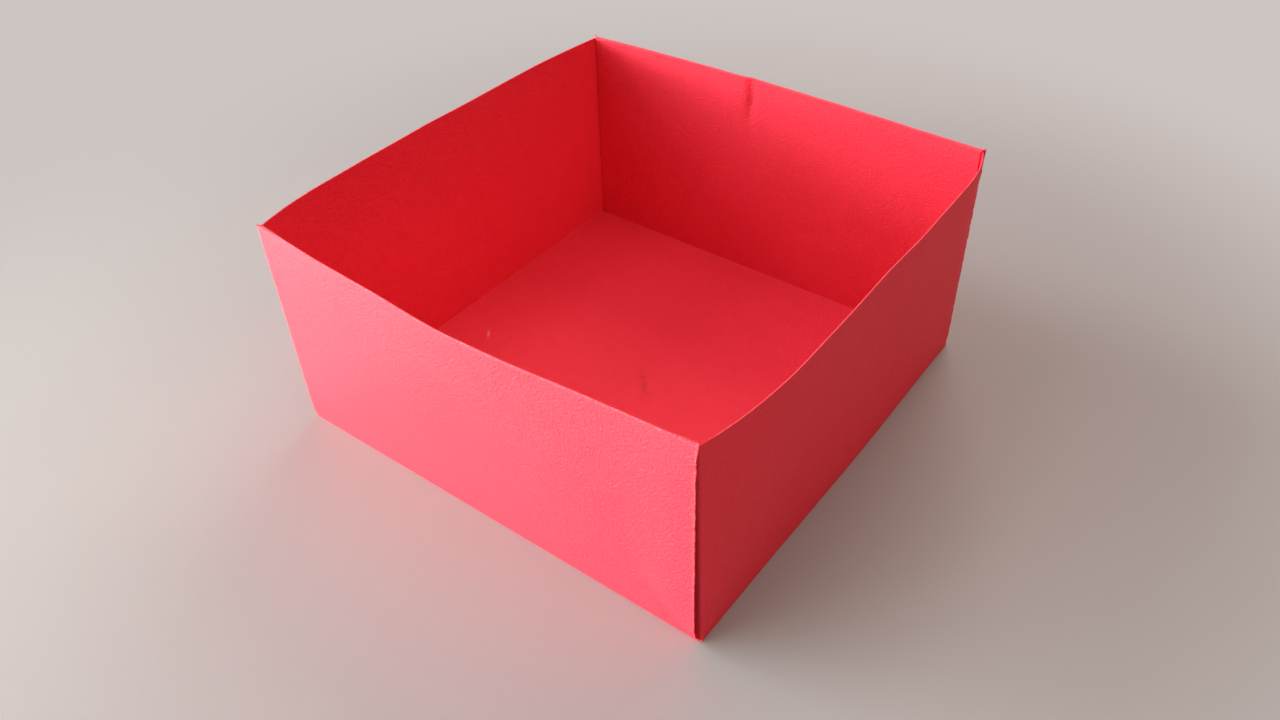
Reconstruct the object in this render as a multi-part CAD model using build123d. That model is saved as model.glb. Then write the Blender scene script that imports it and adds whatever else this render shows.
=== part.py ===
from build123d import *
import math
import os

# Square sheet of paper that the whole box is folded from.
SHEET_SIDE = 210.0
PAPER = 0.1
LAYER_GAP = 0.025

# Outward bow of the end walls' rims, largest half way along.
NEAR_END_BOW = 2.25
FAR_END_BOW = 1.05

# Outward bow of the side walls' rims and the reach over which it dies away at each corner.
RIGHT_BOW = 2.45
RIGHT_REACH_NEAR = 7.5
RIGHT_REACH_FAR = 5.0
LEFT_BOW = 1.65
LEFT_REACH_NEAR = 7.0
LEFT_REACH_FAR = 12.0
FAN_FACETS = 4

# Creases and the small distances that paper edges keep from them.
CREASE_RADIUS = 0.15
CORNER_INNER_RADIUS = 0.37
FOOT_RISE = 0.15
GUSSET_MARGIN = 0.1
RAW_SETBACK = 0.4
TRAY_CORNER_EXTRA = 0.1
SEAM_GAP = 0.05
TIP_OPENING = 0.3

QUARTER_TURN = 90
HALF_TURN = 180

# Sizes that follow from folding the four corners of the sheet to its centre
# and each edge of the smaller square to its own centre line.
BLINTZ_SIDE = SHEET_SIDE / math.sqrt(2)
BASE_SIDE = BLINTZ_SIDE / 2
WALL_HEIGHT = BLINTZ_SIDE / 4
HALF = BASE_SIDE / 2

# Stack of layers in an end wall, counted inward from its outer panel.
PITCH = PAPER + LAYER_GAP
OUTER_PANEL, GUSSET_FRONT, GUSSET_BACK, GUSSET_LINING, WING, INNER_PANEL = range(6)

# Folded edges: the loop of two touching layers, of four and of all six.
FOLD_RADIUS = PAPER + LAYER_GAP / 2
FOLD_INNER = LAYER_GAP / 2
WING_RADIUS = (WING - GUSSET_FRONT) * PITCH / 2 + PAPER / 2
RIM_RADIUS = INNER_PANEL * PITCH / 2 + PAPER / 2
RIM_Z = WALL_HEIGHT - RIM_RADIUS

# Floor of two layers and the height where the walls start above it.
FLOOR_TOP = 2 * PAPER + LAYER_GAP
FOOT = FLOOR_TOP + CREASE_RADIUS + FOOT_RISE
BASE_RADIUS = CREASE_RADIUS + PAPER

# Turn of a side wall into the stack of the end wall beside it.
CORNER_RADIUS = CORNER_INNER_RADIUS + 2 * FOLD_RADIUS
TURN_X = HALF - CORNER_RADIUS
TURN_Y = HALF - GUSSET_BACK * PITCH - CORNER_RADIUS
FOLD_X = HALF - FOLD_RADIUS

# Diagonal of each end wall, from its foot at the corner up to the middle of the rim.
GUSSET_RISE = RIM_Z - FOOT
DIAGONAL = math.hypot(TURN_X, GUSSET_RISE)
CREASE_SETBACK = FOLD_RADIUS + GUSSET_MARGIN
EDGE_SETBACK = CREASE_SETBACK + RAW_SETBACK


def diagonal_height(x, setback):
    """Height of the line that lies a set distance above the diagonal of an end wall."""
    return FOOT + GUSSET_RISE * (1 - x / TURN_X) + setback * DIAGONAL / TURN_X


def diagonal_reach(setback):
    """Distance from the middle of the wall where that line meets the rim."""
    return setback * DIAGONAL / GUSSET_RISE


def end_shift(x, bow):
    """Outward shift of the upright facets beside the middle of an end wall."""
    return bow * (1 - x / TURN_X)


def layer_face(layer):
    """Outer face of one layer of the end wall, before it bows."""
    return layer * PITCH - HALF


def upright(x, z, layer, bow):
    """Point on an upright facet."""
    return (x, layer_face(layer) - end_shift(x, bow), z)


def leaning(x, z, layer, bow):
    """Point on the leaning facet between the two diagonals."""
    return (x, layer_face(layer) - bow * (z - FOOT) / GUSSET_RISE, z)


def leaf(points):
    """Flat piece of paper with the given outline, as thick as the sheet."""
    outline = Polyline(*points, close=True)
    return Solid.extrude(Face(Wire(outline.edges())), Vector(0, PAPER, 0))


def facet(layer, setback, bow):
    """Upright facet of one layer, its slanting edge set back from the diagonal."""
    return leaf([
        upright(TURN_X, diagonal_height(TURN_X, setback), layer, bow),
        upright(TURN_X, RIM_Z, layer, bow),
        upright(diagonal_reach(setback), RIM_Z, layer, bow),
    ])


def block(x0, x1, y0, y1, z0, z1):
    """Straight strip of paper between two opposite corners."""
    strip = Box(x1 - x0, y1 - y0, z1 - z0, align=(Align.MIN, Align.MIN, Align.MIN))
    return Pos(x0, y0, z0) * strip


def ring(plane, outer, inner, start, sweep):
    """Section of a fold: a sector of a ring, angles from the plane's own x direction."""
    def at(radius, angle):
        turn = math.radians(angle)
        return plane.from_local_coords((radius * math.cos(turn), radius * math.sin(turn), 0))

    middle = start + sweep / 2
    end = start + sweep
    return Face(Wire([
        ThreePointArc(at(outer, start), at(outer, middle), at(outer, end)),
        Line(at(outer, end), at(inner, end)),
        ThreePointArc(at(inner, end), at(inner, middle), at(inner, start)),
        Line(at(inner, start), at(outer, start)),
    ]))


def rim_loop(x0, x1, radius, thickness, bow=0):
    """Paper rolled over the rim of an end wall between two distances from its middle."""
    shift0 = end_shift(x0, bow)
    shift1 = end_shift(x1, bow)
    centre = (x0, RIM_RADIUS - HALF - shift0, RIM_Z)
    section = ring(
        Plane(origin=centre, x_dir=(0, 1, 0), z_dir=(1, 0, 0)),
        radius, radius - thickness, 0, HALF_TURN,
    )
    return Solid.extrude(section, Vector(x1 - x0, shift0 - shift1, 0))


def upright_fold(x, layer, z0):
    """Fold that joins a layer to the next one at the upright edge of a wall."""
    y = layer_face(layer) + FOLD_RADIUS
    section = ring(
        Plane(origin=(x, y, z0)), FOLD_RADIUS, FOLD_INNER, -QUARTER_TURN, HALF_TURN,
    )
    return Solid.extrude(section, Vector(0, 0, RIM_Z - z0))


def gusset_crease(bow):
    """Fold along the diagonal that joins the two outer layers of a gusset."""
    start = upright(TURN_X, diagonal_height(TURN_X, CREASE_SETBACK), GUSSET_FRONT, bow)
    tip = upright(diagonal_reach(CREASE_SETBACK), RIM_Z, GUSSET_FRONT, bow)
    centre = (start[0], start[1] + FOLD_RADIUS, start[2])
    across = Plane(origin=centre, x_dir=(0, 1, 0), z_dir=(-TURN_X, 0, GUSSET_RISE))
    return Solid.extrude(
        ring(across, FOLD_RADIUS, FOLD_INNER, 0, HALF_TURN),
        Vector(tip[0] - start[0], tip[1] - start[1], tip[2] - start[2]),
    )


def rim_end():
    """Slanting slab at the end of a rolled rim, and the space beyond its inner face."""
    slope = (TURN_X + FOLD_INNER - FOLD_X) / (2 * RIM_RADIUS)
    y0 = -HALF - RIM_RADIUS
    y1 = -HALF + 3 * RIM_RADIUS
    x0 = FOLD_X + slope * (y0 + HALF)
    x1 = FOLD_X + slope * (y1 + HALF)

    def across(reach):
        outline = Polyline(
            (x0, y0, RIM_Z), (x0 + reach, y0, RIM_Z), (x1 + reach, y1, RIM_Z), (x1, y1, RIM_Z),
            close=True,
        )
        return Solid.extrude(Face(Wire(outline.edges())), Vector(0, 0, 2 * RIM_RADIUS))

    return across(PAPER), across(2 * CORNER_RADIUS)


def end_half(bow):
    """Half of an end wall with its gusset, wing, inner panel and floor flap."""
    slab, beyond = rim_end()
    crease_z = diagonal_height(TURN_X, CREASE_SETBACK)
    edge_z = diagonal_height(TURN_X, EDGE_SETBACK)
    edge_x = diagonal_reach(EDGE_SETBACK)
    pieces = []
    for layer in (OUTER_PANEL, INNER_PANEL):
        pieces.append(leaf([
            leaning(0, FOOT, layer, bow), leaning(TURN_X, FOOT, layer, bow),
            leaning(0, RIM_Z, layer, bow),
        ]))
        pieces.append(facet(layer, 0, bow))
    for layer in (GUSSET_FRONT, GUSSET_BACK):
        pieces.append(facet(layer, CREASE_SETBACK, bow))
    for layer in (GUSSET_LINING, WING):
        pieces.append(facet(layer, EDGE_SETBACK, bow))

    # Strips between the facets and the upright edges, and the folds at those edges.
    pieces += [
        block(TURN_X, FOLD_X, -HALF, PAPER - HALF, FOOT, RIM_Z),
        block(TURN_X, FOLD_X, layer_face(GUSSET_FRONT), layer_face(GUSSET_FRONT) + PAPER,
              crease_z, RIM_Z),
        upright_fold(FOLD_X, OUTER_PANEL, crease_z),
        upright_fold(TURN_X, WING, edge_z),
        gusset_crease(bow),
        rim_loop(edge_x, TURN_X, FOLD_RADIUS, PAPER, bow),
    ]

    # Two nested loops over the rim, cut on a slant where they meet at the corner.
    for radius, start in ((RIM_RADIUS, 0), (WING_RADIUS, edge_x)):
        pieces.append(rim_loop(start, TURN_X, radius, PAPER, bow))
        pieces.append(rim_loop(TURN_X, HALF, radius, PAPER) - beyond)
    thickness = RIM_RADIUS - WING_RADIUS + PAPER - LAYER_GAP
    pieces.append(rim_loop(TURN_X, HALF + PAPER, RIM_RADIUS, thickness) & slab)
    return pieces + end_flap_half()


def end_wall(bow):
    """End wall with both its gussets and its floor flap."""
    half = end_half(bow)
    return half + [mirror(piece, about=Plane.YZ) for piece in half]


def end_flap_half():
    """Half of the flap that runs from an end wall's inner panel to the middle of the floor."""
    face = layer_face(INNER_PANEL)
    bend_y = face + PAPER + CREASE_RADIUS
    width = -bend_y - SEAM_GAP
    bend = ring(
        Plane(origin=(0, bend_y, FLOOR_TOP + CREASE_RADIUS), x_dir=(0, 1, 0), z_dir=(1, 0, 0)),
        BASE_RADIUS, CREASE_RADIUS, HALF_TURN, QUARTER_TURN,
    )
    outline = Polyline(
        (0, bend_y, FLOOR_TOP - PAPER), (width, bend_y, FLOOR_TOP - PAPER),
        (TIP_OPENING - SEAM_GAP, -TIP_OPENING, FLOOR_TOP - PAPER),
        (0, -TIP_OPENING, FLOOR_TOP - PAPER), close=True,
    )
    return [
        block(0, width, face, face + PAPER, FLOOR_TOP + CREASE_RADIUS, FOOT),
        Solid.extrude(bend, Vector(width, 0, 0)),
        Solid.extrude(Face(Wire(outline.edges())), Vector(0, 0, PAPER)),
    ]


def side_rim(bow, reach_near, reach_far):
    """Plan of a side wall's rim as distance along the wall and outward shift.

    The rim moves out quickly beside each corner, in equal steps, and runs straight between.
    """
    near = [(-TURN_Y + along, shift) for along, shift in rim_rise(bow, reach_near)]
    far = [(TURN_Y - along, shift) for along, shift in rim_rise(bow, reach_far)]
    return near, far


def rim_rise(bow, reach):
    """Distances from a corner and outward shifts that die away over the given reach."""
    steps = [(-reach * math.log(1 - step / FAN_FACETS), bow * step / FAN_FACETS)
             for step in range(FAN_FACETS)]
    return steps + [(reach * (math.log(FAN_FACETS) + 1), bow)]


def side_leaf(outline, depth):
    """Flat piece of a side wall through points given along the wall, upward and outward."""
    points = [(HALF - depth + shift, y, z) for y, z, shift in outline]
    edges = Polyline(*points, close=True).edges()
    return Solid.extrude(Face(Wire(edges)), Vector(-PAPER, 0, 0))


def side_loop(start, end):
    """Two layers joined over a straight run of a side wall's rim."""
    centre = (HALF - FOLD_RADIUS + start[1], start[0], RIM_Z)
    section = ring(
        Plane(origin=centre, x_dir=(1, 0, 0), z_dir=(0, -1, 0)),
        FOLD_RADIUS, FOLD_INNER, 0, HALF_TURN,
    )
    return Solid.extrude(section, Vector(end[1] - start[1], end[0] - start[0], 0))


def side_turn(side):
    """Turn of both layers and their rim into the stack of an end wall."""
    y = side * TURN_Y
    inner = HALF - 2 * FOLD_RADIUS
    over = ThreePointArc((HALF, y, RIM_Z), (HALF - FOLD_RADIUS, y, RIM_Z + FOLD_RADIUS),
                         (inner, y, RIM_Z))
    layers = Polyline((inner, y, RIM_Z), (inner, y, FOOT), (inner + PAPER, y, FOOT),
                      (inner + PAPER, y, RIM_Z), (HALF - PAPER, y, RIM_Z),
                      (HALF - PAPER, y, FOOT), (HALF, y, FOOT), (HALF, y, RIM_Z))
    section = Face(Wire([over] + layers.edges()))
    return revolve(section, Axis((TURN_X, y, 0), (0, 0, side)), QUARTER_TURN)


def side_wall(bow, reach_near, reach_far):
    """Side wall of two layers with its turns into both end walls and its floor flap."""
    near, far = side_rim(bow, reach_near, reach_far)
    pieces = [side_turn(-1), side_turn(1)] + side_flap()
    for depth in (0, PITCH):
        for rim in (near, far):
            corner = rim[0]
            for start, end in zip(rim, rim[1:]):
                pieces.append(side_leaf([
                    (corner[0], FOOT, 0), (start[0], RIM_Z, start[1]), (end[0], RIM_Z, end[1]),
                ], depth))
        pieces.append(side_leaf([
            (near[0][0], FOOT, 0), (near[-1][0], RIM_Z, near[-1][1]),
            (far[-1][0], RIM_Z, far[-1][1]), (far[0][0], FOOT, 0),
        ], depth))
    rim = near + far[::-1]
    for start, end in zip(rim, rim[1:]):
        pieces.append(side_loop(start, end))
    return pieces


def side_flap():
    """Flap that runs from a side wall's inner layer to the middle of the floor."""
    inner = HALF - 2 * FOLD_RADIUS
    bend_x = inner - CREASE_RADIUS
    shoulder = TURN_Y + SEAM_GAP
    bend = ring(
        Plane(origin=(bend_x, -TURN_Y, FLOOR_TOP + CREASE_RADIUS), x_dir=(1, 0, 0),
              z_dir=(0, -1, 0)),
        BASE_RADIUS, CREASE_RADIUS, -QUARTER_TURN, QUARTER_TURN,
    )
    outline = Polyline(
        (bend_x, -TURN_Y, FLOOR_TOP - PAPER), (bend_x, TURN_Y, FLOOR_TOP - PAPER),
        (shoulder, TURN_Y, FLOOR_TOP - PAPER),
        (TIP_OPENING, TIP_OPENING - SEAM_GAP, FLOOR_TOP - PAPER),
        (TIP_OPENING, SEAM_GAP - TIP_OPENING, FLOOR_TOP - PAPER),
        (shoulder, -TURN_Y, FLOOR_TOP - PAPER), close=True,
    )
    return [
        block(inner, inner + PAPER, -TURN_Y, TURN_Y, FLOOR_TOP + CREASE_RADIUS, FOOT),
        Solid.extrude(bend, Vector(0, 2 * TURN_Y, 0)),
        Solid.extrude(Face(Wire(outline.edges())), Vector(0, 0, PAPER)),
    ]


def tray():
    """Bottom layer of the floor with its creased edges and the foot of every wall."""
    corner = BASE_RADIUS + TRAY_CORNER_EXTRA

    def body(shrink, floor):
        side = BASE_SIDE - 2 * shrink
        outline = Pos(0, 0, floor) * RectangleRounded(side, side, corner - shrink)
        solid = extrude(outline, FOOT - floor)
        return fillet(solid.edges().group_by(Axis.Z)[0], BASE_RADIUS - shrink)

    return body(0, 0) - body(PAPER, PAPER)


def folded_sheet():
    """The whole box, one sheet folded on itself."""
    near = end_wall(NEAR_END_BOW)
    far = [mirror(piece, about=Plane.XZ) for piece in end_wall(FAR_END_BOW)]
    right = side_wall(RIGHT_BOW, RIGHT_REACH_NEAR, RIGHT_REACH_FAR)
    left = [
        mirror(piece, about=Plane.YZ)
        for piece in side_wall(LEFT_BOW, LEFT_REACH_NEAR, LEFT_REACH_FAR)
    ]
    return tray().fuse(*near, *far, *right, *left).clean()


os.makedirs("parts", exist_ok=True)
export_step(folded_sheet(), "parts/folded_sheet.step")
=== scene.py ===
import math
import random

import bmesh
import bpy
import numpy as np
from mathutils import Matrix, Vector, noise


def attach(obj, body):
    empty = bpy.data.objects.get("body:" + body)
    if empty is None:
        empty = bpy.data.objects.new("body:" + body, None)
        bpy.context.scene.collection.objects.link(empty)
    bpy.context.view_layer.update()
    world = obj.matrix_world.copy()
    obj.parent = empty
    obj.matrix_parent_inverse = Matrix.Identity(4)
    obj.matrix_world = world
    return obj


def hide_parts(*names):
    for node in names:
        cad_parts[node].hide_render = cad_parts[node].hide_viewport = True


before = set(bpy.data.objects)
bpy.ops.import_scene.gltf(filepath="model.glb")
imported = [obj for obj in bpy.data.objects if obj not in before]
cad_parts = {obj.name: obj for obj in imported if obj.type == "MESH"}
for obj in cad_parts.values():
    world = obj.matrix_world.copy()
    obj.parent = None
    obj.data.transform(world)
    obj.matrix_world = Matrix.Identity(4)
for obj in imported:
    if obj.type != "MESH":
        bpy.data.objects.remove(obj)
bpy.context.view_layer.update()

MM = 0.001

# Camera, from the perspective of the box's straight edges in the photograph (mm, degrees).
CAMERA_PLACE = Vector((83.5, -104.15, 118.67))
CAMERA_TURN = (49.346, 1.8125, 37.1005)
CAMERA_LENS = 30.105
CAMERA_NEAR = 5.0

# Driving sizes of the folded sheet, as its CAD source has them (mm).
SHEET_SIDE = 210.0
PAPER = 0.1
LAYER_GAP = 0.025
NEAR_END_BOW = 2.25
FAR_END_BOW = 1.05
RIGHT_WALL = {"bow": 2.45, "near": 7.5, "far": 5.0}
LEFT_WALL = {"bow": 1.65, "near": 7.0, "far": 12.0}
FAN_FACETS = 4
CREASE_RADIUS = 0.15
CORNER_INNER_RADIUS = 0.37
FOOT_RISE = 0.15
SEAM_GAP = 0.05

# What follows from them (mm). HALF is half the base side and also the height of the walls.
END_LAYERS = 6
HALF = SHEET_SIDE / math.sqrt(2) / 4
PITCH = PAPER + LAYER_GAP
FOLD_RADIUS = PAPER + LAYER_GAP / 2
RIM_RADIUS = (END_LAYERS - 1) * PITCH / 2 + PAPER / 2
RIM_Z = HALF - RIM_RADIUS
FLOOR_TOP = 2 * PAPER + LAYER_GAP
FOOT = FLOOR_TOP + CREASE_RADIUS + FOOT_RISE
RISE = RIM_Z - FOOT
CORNER_RADIUS = CORNER_INNER_RADIUS + 2 * FOLD_RADIUS
TURN_X = HALF - CORNER_RADIUS
TURN_Y = HALF - 2 * PITCH - CORNER_RADIUS
FOLDED_DEPTH = 2 * PITCH - LAYER_GAP / 2

# How the real sheet departs from the straight fold lines (mm).
SOFT_NEAR_END = {"bow": 2.5, "middle": 1.0, "round": 4.4}
SOFT_FAR_END = {"bow": 1.5, "middle": -3.0, "round": 9.0}
CREASE_SOFTNESS = 0.16
SOFT_RIGHT_BOW = 2.40
SOFT_LEFT_BOW = 1.95
RIGHT_BASE = {"y": 6.0, "out": 0.32, "wide": 20.0, "tall": 14.0}

# Slack in the rim of the right wall, between these distances from its near and far ends (mm).
RIGHT_SETTLE = 0.3
SETTLE_NEAR = (24.0, 46.0)
SETTLE_FAR = (4.0, 14.0)

# Least share of its height at which the fan of a side wall is worked out.
FAN_FLOOR = 1e-4

# Share by which the layers of an end wall close up, growing from this height up to
# this far below the bend of the rim (mm).
RIM_PRESS = 0.48
PRESS_START = 16.0
PRESS_END = 2

# Uneven swell of the walls (mm), with a seed for each wall.
WALL_RIPPLE = {"height": 0.11, "length": 15.0}
WALL_RIPPLE_RISE = (1.0, 12.0)
RIM_RIPPLE = {"height": 0.05, "length": 6.0}
RIM_RIPPLE_START = 22.0
RIM_RIPPLE_SEED = 7
SWELL_SEED = {"near": 1.3, "far": 4.1, "right": 9.4, "left": 14.2}

# Widths next to the upright corners in which each change of a wall dies out (mm).
BOW_EASE = 4.0
PRESS_EASE = 5.0
SWELL_EASE = 9.0

# Distances from the middle between which the floor passes into the walls (mm).
WALL_EASE = (30.0, 34.0)

# The two outer layers stand away from each upright corner by this share of the full opening.
CORNER_GAPE = {(1, -1): 1.0, (-1, -1): 0.25, (1, 1): 0.4, (-1, 1): 0.4}

# Full opening, outwards at the rim and at the base and back from the corner (mm).
GAPE_OUT_TOP = 0.25
GAPE_OUT = 1.0
GAPE_BACK = 0.48

# Where the opening begins: above the diagonal crease, below the rim, along the wall, at the foot (mm).
GAPE_CREASE = (-1.5, 3.5)
GAPE_RIM = (2.5, 0.5)
GAPE_START = 25.0
GAPE_BACK_START = 31.0
GAPE_FOOT = 1.6

# Uneven edge of the upright folds (mm).
FRAY_CELL = 0.24
FRAY_REACH = 0.75
FRAY_DEPTH = 0.2
FRAY_RISE = (1.0, 3.0)
FRAY_WAVE = {"height": 0.05, "length": 0.55}
FRAY_STRETCH = 4
FRAY_SEED = 3.3

# Least share of an edge's length that is height, for the edge to count as upright.
UPRIGHT_SHARE = 0.9

# Pinch under the rim of the far wall, with its shade, and a slight dent in the near wall (mm).
# A negative depth goes outwards.
PINCH = {"x": -4.3, "z": 33.2, "deep": -0.62, "wide": 0.75, "tall": 3.2}
PINCH_SHADE = {"x": -7.5, "z": 34.0, "deep": 0.26, "wide": 3.0, "tall": 5.0}
NEAR_DENT = {"x": -3.3, "z": 33.5, "deep": 0.12, "wide": 2.2, "tall": 4.0}

# Scuffs on the floor (mm, degrees): two dents by the flap tips, and a raised fibre on the left.
TIP_MARK = {"x": 0.8, "y": -1.0, "turn": 0, "high": -0.07, "long": 0.8, "wide": 0.8}
TIP_TAIL = {"x": 4.2, "y": -3.1, "turn": -45, "high": -0.03, "long": 2.6, "wide": 0.7}
LEFT_SCUFF = {"x": -28.6, "y": -6.0, "turn": -45, "high": 0.12, "long": 0.75, "wide": 0.22}

# Colour marks beside them: a dark rubbed spot, and the pale fibre.
RUBBED = {"x": 1.7, "y": -1.4, "turn": -50, "long": 1.9, "wide": 0.42, "strength": 0.5}
PALE_FIBRE = {"x": -28.6, "y": -6.0, "turn": -50, "long": 0.8, "wide": 0.2, "strength": 0.8}

# Share of its gap by which each floor seam is drawn shut, beyond this distance from the middle (mm).
SEAM_DRAW = 0.8
SEAM_END = 1.0

# Faces that meet at less than the first angle count as flat, edges over the second as sharp (degrees).
FLAT_ANGLE = 0.05
SHARP_ANGLE = 40

# Cells that the flat faces are cut into so that they can bend (mm), finer in three patches.
CELL = 2.4
WELD = 0.0005
PINCH_PATCH = {"low": (-8, HALF - 1, 26), "high": (0, HALF + 3, HALF + 1), "step": 0.42, "count": 4}
TIP_PATCH = {"low": (-3, -5, 0.1), "high": (7, 3, 0.3), "step": 0.4, "count": 5}
SCUFF_PATCH = {"low": (-31, -8, 0.1), "high": (-26, -4, 0.3), "step": 0.2, "count": 5}


def smooth_step(low, high, value):
    """0 below low, 1 above high and an even ease between them."""
    t = np.clip((value - low) / (high - low), 0, 1)
    return t * t * (3 - 2 * t)


def smooth_min(a, b, softness):
    """Smaller of two values, rounded where they are nearly equal."""
    h = np.clip(softness - np.abs(a - b), 0, None) / softness
    return np.minimum(a, b) - h * h * softness / 4


def bell(value, middle, width):
    """Rounded bump of height 1."""
    return np.exp(-((value - middle) / width) ** 2)


def oval(x, y, form):
    """Rounded spot of height 1, long in one direction of the floor."""
    a = math.radians(form["turn"])
    along = (x - form["x"]) * math.cos(a) + (y - form["y"]) * math.sin(a)
    across = (y - form["y"]) * math.cos(a) - (x - form["x"]) * math.sin(a)
    return bell(along, 0, form["long"]) * bell(across, 0, form["wide"])


def plane_cut(bm, geometry, axis, place):
    """Cuts part of the mesh at one coordinate (mm) and returns that part with its new edges."""
    normal = Vector((0, 0, 0))
    normal[axis] = 1
    result = bmesh.ops.bisect_plane(bm, geom=geometry, plane_co=normal * place * MM,
                                    plane_no=normal, dist=WELD * MM)
    return result["geom"]


def part_in_box(bm, low, high):
    """Faces whose middle lies in a box (mm), with their edges and corners."""
    faces = []
    for face in bm.faces:
        middle = face.calc_center_median() / MM
        if all(low[k] < middle[k] < high[k] for k in range(3)):
            faces.append(face)
    edges = {edge for face in faces for edge in face.edges}
    verts = {vert for face in faces for vert in face.verts}
    return list(verts) + list(edges) + faces


def fine_patch(bm, patch, middle):
    """Finer cells round a place, in the axes that middle names."""
    geometry = part_in_box(bm, patch["low"], patch["high"])
    for axis, place in middle.items():
        for k in range(-patch["count"], patch["count"] + 1):
            geometry = plane_cut(bm, geometry, axis, place + k * patch["step"])


def fray_cells(bm):
    """Short cells up each upright fold, so that its edge can be uneven."""
    edges = []
    for edge in bm.edges:
        a, b = edge.verts[0].co / MM, edge.verts[1].co / MM
        upright = abs(a.z - b.z) > UPRIGHT_SHARE * (a - b).length > FRAY_CELL
        at_corner = min(abs(a.x), abs(b.x)) > HALF - FRAY_REACH
        in_fold = min(abs(a.y), abs(b.y)) > HALF - FOLDED_DEPTH
        if upright and at_corner and in_fold:
            edges.append(edge)
    bmesh.ops.subdivide_edges(bm, edges=edges, cuts=int(CELL / FRAY_CELL), use_grid_fill=False)


def cut_cells(bm):
    """Divides walls and floor into small cells, finer round the pinch and the scuffs."""
    span = HALF - CORNER_RADIUS
    count = int(2 * span / CELL)
    geometry = bm.verts[:] + bm.edges[:] + bm.faces[:]
    for axis in (0, 1):
        for step in range(1, count):
            geometry = plane_cut(bm, geometry, axis, -span + 2 * span * step / count)
    rows = int(RISE / CELL)
    for step in range(1, rows):
        geometry = plane_cut(bm, geometry, 2, FOOT + RISE * step / rows)
    fine_patch(bm, PINCH_PATCH, {0: PINCH["x"]})
    fine_patch(bm, TIP_PATCH, {0: TIP_MARK["x"], 1: TIP_MARK["y"]})
    fine_patch(bm, SCUFF_PATCH, {0: LEFT_SCUFF["x"], 1: LEFT_SCUFF["y"]})
    fray_cells(bm)


def cad_fan(distance, wall, end):
    """Outward shift of a side wall's rim in the CAD part, from its flat facets."""
    reach = wall[end]
    steps = [-reach * math.log(1 - k / FAN_FACETS) for k in range(FAN_FACETS)]
    shifts = [wall["bow"] * k / FAN_FACETS for k in range(FAN_FACETS)]
    steps.append(reach * (math.log(FAN_FACETS) + 1))
    shifts.append(wall["bow"])
    return np.interp(distance, steps, shifts)


def side_shift(y, z, wall, soft_bow, settle):
    """Extra outward shift that turns the facets of a side wall into one smooth curve."""
    rise = np.clip((z - FOOT) / RISE, FAN_FLOOR, 1)
    near = np.clip(y + TURN_Y, 0, None) / rise
    far = np.clip(TURN_Y - y, 0, None) / rise
    facets = np.minimum(cad_fan(near, wall, "near"), cad_fan(far, wall, "far"))
    curve = soft_bow * (1 - np.exp(-near / wall["near"])) * (1 - np.exp(-far / wall["far"]))
    slack = settle * smooth_step(*SETTLE_NEAR, near) * smooth_step(*SETTLE_FAR, far)
    return rise * (curve - slack - facets)


def cad_bow(x, z, bow):
    """Outward shift of an end wall in the CAD part, from its three flat facets."""
    rise = np.clip((z - FOOT) / RISE, 0, 1)
    return bow * np.minimum(rise, np.clip(1 - np.abs(x) / TURN_X, 0, None))


def end_shift(x, z, bow, soft):
    """Extra outward shift that softens the creases of an end wall."""
    rise = np.clip((z - FOOT) / RISE, 0, 1)
    ridge = 1 - np.sqrt((x - soft["middle"]) ** 2 + soft["round"] ** 2) / TURN_X
    edge = 1 - smooth_step(TURN_X - BOW_EASE, TURN_X, np.abs(x))
    curve = soft["bow"] * np.clip(smooth_min(rise, ridge, CREASE_SOFTNESS), 0, None)
    return (curve - cad_bow(x, z, bow)) * edge


def wander(a, b, wave, seed):
    """Gentle uneven swell over a wall, the same in every layer."""
    length = wave["length"]
    values = [noise.noise(Vector((p / length, q / length, seed))) for p, q in zip(a, b)]
    return wave["height"] * 2 * np.array(values)


def wall_swell(along, z, seed):
    """Swell that dies out at the base and at the upright corners."""
    inside = 1 - smooth_step(TURN_X - SWELL_EASE, TURN_X, np.abs(along))
    wall = smooth_step(*WALL_RIPPLE_RISE, z) * wander(along, z, WALL_RIPPLE, seed)
    at_rim = smooth_step(RIM_RIPPLE_START, HALF, z)
    return inside * (wall + at_rim * wander(along, z, RIM_RIPPLE, seed + RIM_RIPPLE_SEED))


def rim_press(x, y, z, bow):
    """Outward shift that presses the layers of an end wall together towards its rim."""
    depth = HALF + cad_bow(x, z, bow) - np.abs(y)
    inside = 1 - smooth_step(TURN_X - PRESS_EASE, TURN_X, np.abs(x))
    upper = smooth_step(PRESS_START, RIM_Z - PRESS_END, z)
    return RIM_PRESS * np.clip(depth, 0, 2 * RIM_RADIUS) * inside * upper


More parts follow.
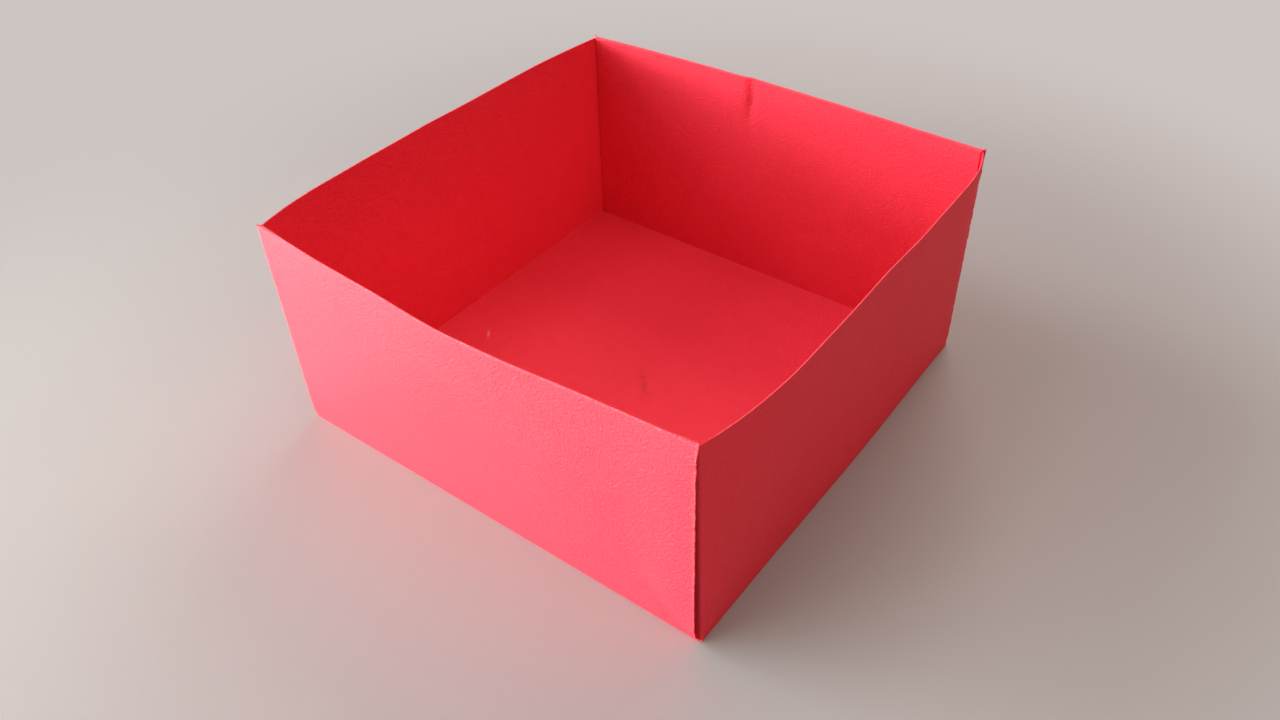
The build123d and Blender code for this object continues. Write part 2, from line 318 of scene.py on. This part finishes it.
def corner_gape(x, y, z, bow, shift, side_y):
    """Stands the two outer layers of an end wall away from the upright corners."""
    depth = HALF + cad_bow(x, z, bow) - np.abs(y)
    outer = (depth < FOLDED_DEPTH) & (side_y * y > 0) & (depth > -PAPER)
    above_crease = smooth_step(*GAPE_CREASE, z - (HALF - np.abs(x)))
    below_rim = 1 - smooth_step(HALF - GAPE_RIM[0], HALF - GAPE_RIM[1], z)
    at_edge = smooth_step(GAPE_START, TURN_X, np.abs(x))
    foot = smooth_step(-GAPE_FOOT, GAPE_FOOT, z)
    foot_out = smooth_step(0, GAPE_FOOT, z)
    opening = GAPE_OUT_TOP + (GAPE_OUT - GAPE_OUT_TOP) * np.clip(1 - z / HALF, 0, 1)
    frayed = smooth_step(TURN_X - FRAY_DEPTH, HALF, np.abs(x)) * smooth_step(*FRAY_RISE, z)
    uneven = np.zeros(len(x))
    edge_points = np.flatnonzero(outer & (frayed > 0))
    stretched = x[edge_points] * FRAY_STRETCH
    uneven[edge_points] = wander(stretched, z[edge_points], FRAY_WAVE, FRAY_SEED)
    for (corner_x, corner_y), amount in CORNER_GAPE.items():
        if corner_y != side_y:
            continue
        here = outer & (corner_x * x > 0)
        back = GAPE_BACK * np.sqrt(np.clip(1 - z / HALF, 0, 1))
        back *= amount * smooth_step(GAPE_BACK_START, HALF, np.abs(x)) * foot
        out = amount * opening * above_crease * below_rim * at_edge * foot_out
        back += frayed * uneven
        shift[:, 0] -= np.where(here, corner_x * back, 0)
        shift[:, 1] += np.where(here, side_y * out, 0)


def dent(x, z, form):
    """Depth of a shallow dent in an end wall."""
    return form["deep"] * bell(x, form["x"], form["wide"]) * bell(z, form["z"], form["tall"])


def floor_marks(x, y, z):
    """Height changes of the floor at its scuffs, in its upper layer only."""
    upper = (z > PAPER + LAYER_GAP / 2) & (z < FLOOR_TOP + PAPER / 4)
    height = sum(mark["high"] * oval(x, y, mark) for mark in (TIP_MARK, TIP_TAIL, LEFT_SCUFF))
    return np.where(upper, height, 0)


def close_seams(x, y, z, shift):
    """Draws the edges of the floor's four flaps together along the diagonals."""
    for side in (1, -1):
        off = (x - side * y) / math.sqrt(2)
        at_seam = (np.abs(off) < SEAM_GAP) & (z < FOOT) & (np.hypot(x, y) > SEAM_END)
        pull = np.where(at_seam, -SEAM_DRAW * off, 0) / math.sqrt(2)
        shift[:, 0] += pull
        shift[:, 1] -= side * pull


# How far each folded corner stands off the square box (mm), base and then rim.
CORNER_BASE = {(1, -1): (0.60, 0.44, 0), (-1, -1): (-0.60, -0.25, 0),
               (1, 1): (0.45, 0.09, 0), (-1, 1): (0, 0, 0)}
CORNER_RIM = {(1, -1): (0.67, -0.51, -0.08), (-1, -1): (-0.48, -0.40, -0.20),
              (1, 1): (0.29, 0.87, 0), (-1, 1): (-0.07, 0.75, -0.15)}


def stand_off(x, y, z):
    """Slight skew of the whole box, carried evenly from its eight corners."""
    total = np.zeros((len(x), 3))
    up = np.clip(z / HALF, 0, 1)
    for (side_x, side_y), base in CORNER_BASE.items():
        share = (1 + side_x * x / HALF) / 2 * (1 + side_y * y / HALF) / 2
        rim = np.array(CORNER_RIM[side_x, side_y])
        total += share[:, None] * (np.array(base) * (1 - up[:, None]) + rim * up[:, None])
    return total


def bend(mesh):
    """Moves every point of the mesh from the CAD part's facets to the real sheet's shape."""
    points = np.zeros(len(mesh.vertices) * 3)
    mesh.vertices.foreach_get("co", points)
    points = points.reshape(-1, 3) / MM
    x, y, z = (points[:, k].copy() for k in range(3))
    shift = stand_off(x, y, z)
    in_near = smooth_step(*WALL_EASE, -y)
    in_far = smooth_step(*WALL_EASE, y)
    in_right = smooth_step(*WALL_EASE, x)
    in_left = smooth_step(*WALL_EASE, -x)
    near_bow = end_shift(x, z, NEAR_END_BOW, SOFT_NEAR_END)
    near_bow += wall_swell(x, z, SWELL_SEED["near"])
    near_bow -= dent(x, z, NEAR_DENT)
    far_bow = end_shift(x, z, FAR_END_BOW, SOFT_FAR_END)
    far_bow += wall_swell(x, z, SWELL_SEED["far"])
    far_bow -= dent(x, z, PINCH) + dent(x, z, PINCH_SHADE)
    shift[:, 1] -= in_near * (near_bow + rim_press(x, y, z, NEAR_END_BOW))
    shift[:, 1] += in_far * (far_bow + rim_press(x, y, z, FAR_END_BOW))
    right_bow = side_shift(y, z, RIGHT_WALL, SOFT_RIGHT_BOW, RIGHT_SETTLE)
    right_bow += wall_swell(y, z, SWELL_SEED["right"])
    base_bow = RIGHT_BASE["out"] * bell(y, RIGHT_BASE["y"], RIGHT_BASE["wide"])
    right_bow += base_bow * (1 - smooth_step(0, RIGHT_BASE["tall"], z))
    left_bow = side_shift(y, z, LEFT_WALL, SOFT_LEFT_BOW, 0)
    left_bow += wall_swell(y, z, SWELL_SEED["left"])
    shift[:, 0] += in_right * right_bow
    shift[:, 0] -= in_left * left_bow
    corner_gape(x, y, z, NEAR_END_BOW, shift, -1)
    corner_gape(x, y, z, FAR_END_BOW, shift, 1)
    shift[:, 2] += floor_marks(x, y, z)
    close_seams(x, y, z, shift)
    points += shift
    mesh.vertices.foreach_set("co", (points * MM).ravel())
    mesh.update()
    return x, y, z


# How pale each kind of fold is made, from 0 to 1, and the distances over which it fades (mm): wear at
# the corners, base and end rims; wear and a painted highlight along the side rims.
SIDE_RIM_WEAR_AND_HIGHLIGHT = 1.0
SIDE_RIM_BAND = (0.4, 0.08)
END_RIM_WEAR = 0.35
END_RIM_BAND = 0.25
CORNER_WEAR = 0.4
CORNER_BAND = (0.1, 0.6)
BASE_WEAR = 0.3
BASE_BAND = (0.05, 0.4)
BASE_EDGE = (0.02, 0.1)


def store(mesh, name, values):
    """Keeps one number for each point, for the material to read."""
    attribute = mesh.attributes.new(name, "FLOAT", "POINT")
    attribute.data.foreach_set("value", values.astype(np.float32))


def mark_wear_and_rim_highlight(mesh, x, y, z):
    """Stores how near each point is to a pale fold: wear at the upright corners, base and end rims,
    and on the side rims wear together with a painted highlight.
    """
    across = np.minimum(np.abs(HALF - np.abs(x)), np.abs(HALF - np.abs(y)))
    # Side rims: a pale band that is partly wear and partly a painted highlight of their lit top edge.
    side_rim = SIDE_RIM_WEAR_AND_HIGHLIGHT * smooth_step(HALF - SIDE_RIM_BAND[0], HALF - SIDE_RIM_BAND[1], z)
    end_rim = END_RIM_WEAR * smooth_step(HALF - END_RIM_BAND, HALF, z)
    rim = np.where((np.abs(x) > TURN_X) & (np.abs(y) < TURN_Y), side_rim, end_rim)
    corner = np.sqrt((HALF - np.abs(x)) ** 2 + (HALF - np.abs(y)) ** 2)
    upright = CORNER_WEAR * (1 - smooth_step(*CORNER_BAND, corner))
    base = BASE_WEAR * (1 - smooth_step(*BASE_BAND, z)) * (1 - smooth_step(*BASE_EDGE, across))
    store(mesh, "fold", np.clip(rim + upright + base, 0, 1))


def mark_floor(mesh, x, y, z):
    """Stores where the floor is rubbed dark (below 0) or pale (above 0)."""
    upper = (z > FLOOR_TOP - PAPER / 4) & (z < FLOOR_TOP + PAPER / 4)
    dark = RUBBED["strength"] * oval(x, y, RUBBED)
    pale = PALE_FIBRE["strength"] * oval(x, y, PALE_FIBRE)
    store(mesh, "rub", np.where(upper, pale - dark, 0))


def build_paper():
    """The folded sheet as one dense mesh with the real sheet's softened shape."""
    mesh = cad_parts["folded_sheet"].data.copy()
    mesh.name = "paper_box"
    bm = bmesh.new()
    bm.from_mesh(mesh)
    bmesh.ops.remove_doubles(bm, verts=bm.verts, dist=WELD * MM)
    bmesh.ops.dissolve_limit(bm, angle_limit=math.radians(FLAT_ANGLE), verts=bm.verts, edges=bm.edges)
    cut_cells(bm)
    bm.to_mesh(mesh)
    bm.free()
    mesh.materials.clear()
    x, y, z = bend(mesh)
    mark_wear_and_rim_highlight(mesh, x, y, z)
    mark_floor(mesh, x, y, z)
    paper = bpy.data.objects.new("paper_box", mesh)
    bpy.context.scene.collection.objects.link(paper)
    return paper


def finish_surface(paper):
    """Smooth shading with crisp paper edges."""
    for polygon in paper.data.polygons:
        polygon.use_smooth = True
    paper.data.set_sharp_from_angle(angle=math.radians(SHARP_ANGLE))
    weighted = paper.modifiers.new("even_normals", "WEIGHTED_NORMAL")
    weighted.mode = "FACE_AREA"
    weighted.keep_sharp = True


class Nodes:
    """Short way to add and join shader nodes."""

    def __init__(self, name):
        self.material = bpy.data.materials.new(name)
        self.material.use_nodes = True
        self.tree = self.material.node_tree
        self.shader = self.tree.nodes["Principled BSDF"]

    def add(self, kind, **values):
        node = self.tree.nodes.new(kind)
        for key, value in values.items():
            setattr(node, key, value)
        return node

    def join(self, source, target):
        self.tree.links.new(source, target)

    def spots(self, scale, detail, rough, stretch=(1, 1, 1), turn=(0, 0, 0)):
        """Noise in the object's own metres, scale in features per metre."""
        place = self.add("ShaderNodeTexCoord")
        mapping = self.add("ShaderNodeMapping")
        mapping.inputs["Scale"].default_value = stretch
        mapping.inputs["Rotation"].default_value = [math.radians(angle) for angle in turn]
        texture = self.add("ShaderNodeTexNoise")
        texture.inputs["Scale"].default_value = scale
        texture.inputs["Detail"].default_value = detail
        texture.inputs["Roughness"].default_value = rough
        self.join(place.outputs["Object"], mapping.inputs["Vector"])
        self.join(mapping.outputs["Vector"], texture.inputs["Vector"])
        return texture.outputs["Fac"]

    def ramp(self, source, low, high, low_value, high_value):
        """Carries a value's span from low to high over to another span, held at its ends."""
        span = self.add("ShaderNodeMapRange")
        self.join(source, span.inputs["Value"])
        ends = {"From Min": low, "From Max": high, "To Min": low_value, "To Max": high_value}
        for key, value in ends.items():
            span.inputs[key].default_value = value
        return span.outputs["Result"]

    def maths(self, operation, first, second):
        """Joins two values or numbers by one operation."""
        node = self.add("ShaderNodeMath", operation=operation)
        for slot, value in enumerate((first, second)):
            if isinstance(value, (int, float)):
                node.inputs[slot].default_value = value
            else:
                self.join(value, node.inputs[slot])
        return node.outputs[0]

    def mix(self, amount, first, second):
        """Goes from the first colour to the second as the amount goes from 0 to 1."""
        node = self.add("ShaderNodeMix", data_type="RGBA")
        self.join(amount, node.inputs["Factor"])
        for slot, value in (("A", first), ("B", second)):
            socket = [s for s in node.inputs if s.name == slot and s.type == "RGBA"][0]
            if isinstance(value, tuple):
                socket.default_value = (*value, 1)
            else:
                self.join(value, socket)
        return [s for s in node.outputs if s.type == "RGBA"][0]


# Colours of the paper (linear red, green and blue).
PAPER_RED = (0.775, 0.017, 0.045)
PAPER_DEEP = (0.75, 0.015, 0.042)
PAPER_LIGHT = (0.825, 0.030, 0.061)
# Pale colour of wear on the folds and of the pale fibre, also used for the painted highlight along the
# side rims.
PALE_WEAR_AND_RIM_HIGHLIGHT = (0.93, 0.28, 0.30)
RUBBED_DARK = (0.42, 0.006, 0.012)

# Patterns of the paper, with their scale in features per metre.
CLOUD = {"scale": 420, "detail": 4, "rough": 0.6}
GRAIN = {"scale": 3000, "detail": 3, "rough": 0.65}
FIBRES_ONE = {"scale": 1900, "detail": 2, "rough": 0.5, "stretch": (1, 5, 1), "turn": (35, 20, 50)}
FIBRES_TWO = {"scale": 1900, "detail": 2, "rough": 0.5, "stretch": (5, 1, 1), "turn": (-40, 30, 10)}
CHIPS = {"scale": 1500, "detail": 3, "rough": 0.6}

# Values of a pattern where it sets in and is full, and how much it counts at each of the two.
CLOUD_SPAN = (0.35, 0.65, 0, 1)
GRAIN_SPAN = (0.50, 0.72, 0, 0.5)
FIBRE_SPAN = (0.62, 0.78, 0, 0.5)
CHIP_SPAN = (0.38, 0.62, 0.4, 0.9)
ROUGHNESS_SPAN = (0.3, 0.7, 0.56, 0.72)

# Sheen of the paper, how fast wear gathers towards a fold, and the relief (depth in mm).
PAPER_SHEEN = 0.5
WEAR_POWER = 2.0
GRAIN_RELIEF = 0.8
FIBRE_RELIEF = 0.2
RELIEF_STRENGTH = 1.0
RELIEF_DEPTH = 0.25


def paper_material():
    """Matt dyed paper: mottled colour, short pressed fibres, paler folds from wear, and a painted
    highlight along the side rims.
    """
    paper = Nodes("red_paper")
    cloud = paper.spots(**CLOUD)
    grain = paper.spots(**GRAIN)
    fibre_one = paper.spots(**FIBRES_ONE)
    fibre_two = paper.spots(**FIBRES_TWO)
    fibres = paper.maths("MAXIMUM", fibre_one, fibre_two)
    colour = paper.mix(paper.ramp(cloud, *CLOUD_SPAN), PAPER_DEEP, PAPER_RED)
    colour = paper.mix(paper.ramp(grain, *GRAIN_SPAN), colour, PAPER_LIGHT)
    colour = paper.mix(paper.ramp(fibres, *FIBRE_SPAN), colour, PAPER_LIGHT)
    fold = paper.add("ShaderNodeAttribute", attribute_name="fold").outputs["Fac"]
    chips = paper.ramp(paper.spots(**CHIPS), *CHIP_SPAN)
    # Pale folds: wear, and along the side rims a painted highlight as well.
    wear_and_highlight = paper.maths("MULTIPLY", paper.maths("POWER", fold, WEAR_POWER), chips)
    colour = paper.mix(wear_and_highlight, colour, PALE_WEAR_AND_RIM_HIGHLIGHT)
    rub = paper.add("ShaderNodeAttribute", attribute_name="rub").outputs["Fac"]
    colour = paper.mix(paper.ramp(rub, 0, 1, 0, 1), colour, PALE_WEAR_AND_RIM_HIGHLIGHT)
    colour = paper.mix(paper.ramp(rub, 0, -1, 0, 1), colour, RUBBED_DARK)
    shader = paper.shader
    paper.join(colour, shader.inputs["Base Color"])
    paper.join(paper.ramp(grain, *ROUGHNESS_SPAN), shader.inputs["Roughness"])
    shader.inputs["Specular IOR Level"].default_value = PAPER_SHEEN
    grain_part = paper.maths("MULTIPLY", grain, GRAIN_RELIEF)
    fibre_part = paper.maths("MULTIPLY", fibres, FIBRE_RELIEF)
    bump = paper.add("ShaderNodeBump")
    bump.inputs["Strength"].default_value = RELIEF_STRENGTH
    bump.inputs["Distance"].default_value = RELIEF_DEPTH * MM
    paper.join(paper.maths("ADD", grain_part, fibre_part), bump.inputs["Height"])
    paper.join(bump.outputs["Normal"], shader.inputs["Normal"])
    return paper.material


# The table and the pale backdrop, and the distances between which one fades into the other (metres).
TABLE = (0.308, 0.310, 0.306)
BACKDROP = (0.61, 0.56, 0.54)
TABLE_EDGE = (0.085, 0.165)
TABLE_CLOUD = {"scale": 9, "detail": 3, "rough": 0.5}
TABLE_SHADE = 0.975
TABLE_ROUGHNESS = 0.62
TABLE_SHEEN = 0.1


def floor_material():
    """Plain matt table that fades into the pale backdrop far from the object."""
    table = Nodes("table_top")
    shader = table.shader
    cloud = table.ramp(table.spots(**TABLE_CLOUD), *CLOUD_SPAN)
    shaded = tuple(TABLE_SHADE * channel for channel in TABLE)
    table.join(table.mix(cloud, TABLE, shaded), shader.inputs["Base Color"])
    shader.inputs["Roughness"].default_value = TABLE_ROUGHNESS
    shader.inputs["Specular IOR Level"].default_value = TABLE_SHEEN
    place = table.add("ShaderNodeTexCoord")
    length = table.add("ShaderNodeVectorMath", operation="LENGTH")
    table.join(place.outputs["Object"], length.inputs[0])
    away = table.ramp(length.outputs["Value"], *TABLE_EDGE, 0, 1)
    away.node.interpolation_type = "SMOOTHSTEP"
    seen = table.add("ShaderNodeLightPath").outputs["Is Camera Ray"]
    glow = table.add("ShaderNodeEmission")
    glow.inputs["Color"].default_value = (*BACKDROP, 1)
    blend = table.add("ShaderNodeMixShader")
    table.join(table.maths("MULTIPLY", away, seen), blend.inputs["Fac"])
    table.join(shader.outputs["BSDF"], blend.inputs[1])
    table.join(glow.outputs["Emission"], blend.inputs[2])
    table.join(blend.outputs["Shader"], table.tree.nodes["Material Output"].inputs["Surface"])
    return table.material


# Loose fibres (mm). They grow where a fold is worn enough, above this height.
FIBRE_SEED = 11
FIBRE_COUNT = 420
FIBRE_RADIUS = 0.007
FIBRE_LENGTH = (0.10, 0.38)
FIBRE_SINK = 0.03
FIBRE_WEAR = 0.6
FIBRE_HEIGHT = 1.5

# Shares: how pale, how tangled and how curled the fibres are.
FIBRE_PALENESS = 0.6
FIBRE_TANGLE = 0.7
FIBRE_CURL = 0.3

# Rings of a fibre, each by its place along the fibre and its thickness, and the sides of a ring.
FIBRE_RINGS = ((0, 1.0), (0.5, 0.8))
FIBRE_SIDES = 3


def hair(bm, root, lean, length, random_source):
    """One tapered paper fibre with three sides, curved a little."""
    side = lean.orthogonal().normalized()
    curl = Vector([random_source.uniform(-1, 1) for _ in range(3)])
    rings = []
    for step, thick in FIBRE_RINGS:
        middle = root + lean * length * step + curl * length * FIBRE_CURL * step * step
        ring = []
        for k in range(FIBRE_SIDES):
            turn = 2 * math.pi * k / FIBRE_SIDES
            out = side * math.cos(turn) + lean.cross(side) * math.sin(turn)
            ring.append(bm.verts.new(middle + out * FIBRE_RADIUS * MM * thick))
        rings.append(ring)
    tip = bm.verts.new(root + lean * length + curl * length * FIBRE_CURL)
    bm.faces.new(list(reversed(rings[0])))
    for k in range(FIBRE_SIDES):
        after = (k + 1) % FIBRE_SIDES
        bm.faces.new((rings[0][k], rings[0][after], rings[1][after], rings[1][k]))
        bm.faces.new((rings[1][k], rings[1][after], tip))


def build_fibres(paper):
    """Loose fibres that stand up from the folds with the most wear."""
    source = random.Random(FIBRE_SEED)
    mesh = paper.data
    folds = np.zeros(len(mesh.vertices), dtype=np.float32)
    mesh.attributes["fold"].data.foreach_get("value", folds)
    candidates = [k for k in np.flatnonzero(folds > FIBRE_WEAR)
                  if mesh.vertices[k].co.z > FIBRE_HEIGHT * MM]
    bm = bmesh.new()
    for _ in range(FIBRE_COUNT):
        vertex = mesh.vertices[int(source.choice(candidates))]
        jitter = Vector([source.uniform(-1, 1) for _ in range(3)])
        lean = (vertex.normal + FIBRE_TANGLE * jitter).normalized()
        length = source.uniform(*FIBRE_LENGTH) * MM
        root = vertex.co - vertex.normal * FIBRE_SINK * MM
        hair(bm, root, lean, length, source)
    fibres_mesh = bpy.data.meshes.new("paper_fibres")
    bm.normal_update()
    bm.to_mesh(fibres_mesh)
    bm.free()
    store(fibres_mesh, "fold", np.full(len(fibres_mesh.vertices), FIBRE_PALENESS))
    fibres = bpy.data.objects.new("paper_fibres", fibres_mesh)
    bpy.context.scene.collection.objects.link(fibres)
    return fibres


def lamp(name, azimuth, elevation, distance, width, height, level, colour):
    """Soft rectangular lamp aimed at the box; azimuth from -y towards -x, in degrees and metres."""
    a, e = math.radians(azimuth), math.radians(elevation)
    away = Vector((-math.sin(a) * math.cos(e), -math.cos(a) * math.cos(e), math.sin(e)))
    data = bpy.data.lights.new(name, "AREA")
    data.shape = "RECTANGLE"
    data.size = width
    data.size_y = height
    data.energy = level * (math.pi * distance) ** 2
    data.color = colour
    light = bpy.data.objects.new(name, data)
    bpy.context.scene.collection.objects.link(light)
    aim = Vector((0, 0, HALF * MM / 2))
    light.location = away * distance
    light.rotation_euler = (aim - light.location).to_track_quat("-Z", "Y").to_euler()
    light.visible_camera = False
    return light


# Colours of the light (linear red, green and blue).
WINDOW_COLOUR = (0.96, 1.0, 1.09)
SKY_COLOUR = (0.90, 1.0, 1.16)
TABLE_GLOW_COLOUR = (1.0, 0.99, 0.82)
CEILING_COLOUR = (1.0, 0.88, 0.84)
ROOM_COLOUR = (1.0, 0.80, 0.72)
RIGHT_WALL_COLOUR = (1.0, 0.61, 0.50)

# Lamps: name, azimuth and elevation, distance, width and height, level, colour.
LAMPS = (
    ("window", 71, 32, 0.9, 0.36, 0.36, 0.57, WINDOW_COLOUR),
    ("window_top", 55, 55, 0.9, 0.40, 0.40, 0.14, WINDOW_COLOUR),
    ("window_low", 45, 10, 0.9, 0.60, 0.14, 0.90, SKY_COLOUR),
    ("window_sill", 15, 3, 0.9, 0.30, 0.08, 0.22, TABLE_GLOW_COLOUR),
    ("low_reflector", 20, 4, 0.45, 0.22, 0.05, 0.90, TABLE_GLOW_COLOUR),
    ("left_reflector", 45, 4.5, 0.27, 0.08, 0.03, 0.95, TABLE_GLOW_COLOUR),
    ("front_reflector", 30, 14, 0.3, 0.18, 0.16, 0.42, TABLE_GLOW_COLOUR),
    ("ceiling", 0, 89, 1.0, 1.2, 1.2, 0.50, CEILING_COLOUR),
    ("back_wall", 170, 37, 0.9, 0.6, 0.6, 0.75, ROOM_COLOUR),
    ("right_wall", 280, 35, 0.9, 0.6, 0.6, 0.37, RIGHT_WALL_COLOUR),
)

# Level of the even light from all round.
ROOM_LEVEL = 0.07


def light_scene():
    """A large window at the left with its low light, small low reflectors and a warm room."""
    for values in LAMPS:
        lamp(*values)


def room_world():
    """Even warm light from all round, seen by the camera as a pale backdrop."""
    world = bpy.data.worlds.new("room")
    bpy.context.scene.world = world
    world.use_nodes = True
    tree = world.node_tree
    room = tree.nodes["Background"]
    room.inputs["Color"].default_value = (*ROOM_COLOUR, 1)
    room.inputs["Strength"].default_value = ROOM_LEVEL
    backdrop = tree.nodes.new("ShaderNodeBackground")
    backdrop.inputs["Color"].default_value = (*BACKDROP, 1)
    seen = tree.nodes.new("ShaderNodeLightPath")
    blend = tree.nodes.new("ShaderNodeMixShader")
    tree.links.new(seen.outputs["Is Camera Ray"], blend.inputs["Fac"])
    tree.links.new(room.outputs["Background"], blend.inputs[1])
    tree.links.new(backdrop.outputs["Background"], blend.inputs[2])
    tree.links.new(blend.outputs["Shader"], tree.nodes["World Output"].inputs["Surface"])


def place_camera():
    """Camera that sees the box as the photograph does."""
    data = bpy.data.cameras.new("camera")
    camera = bpy.data.objects.new("camera", data)
    bpy.context.scene.collection.objects.link(camera)
    data.lens = CAMERA_LENS
    data.clip_start = CAMERA_NEAR * MM
    camera.location = CAMERA_PLACE * MM
    camera.rotation_euler = [math.radians(turn) for turn in CAMERA_TURN]
    bpy.context.scene.camera = camera


red_paper = paper_material()
paper = build_paper()
finish_surface(paper)
fibres = build_fibres(paper)
for piece in (paper, fibres):
    piece.data.materials.append(red_paper)
    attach(piece, "root")
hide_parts("folded_sheet")

# Side of the table plane (metres) and how far it lies below the box (mm).
TABLE_SIZE = 8.0
TABLE_DROP = 0.02

bpy.ops.mesh.primitive_plane_add(size=TABLE_SIZE, location=(0, 0, -TABLE_DROP * MM))
floor = bpy.context.object
floor.name = "table_top"
floor.data.materials.append(floor_material())

place_camera()
room_world()
light_scene()
bpy.context.scene.view_settings.view_transform = "Standard"
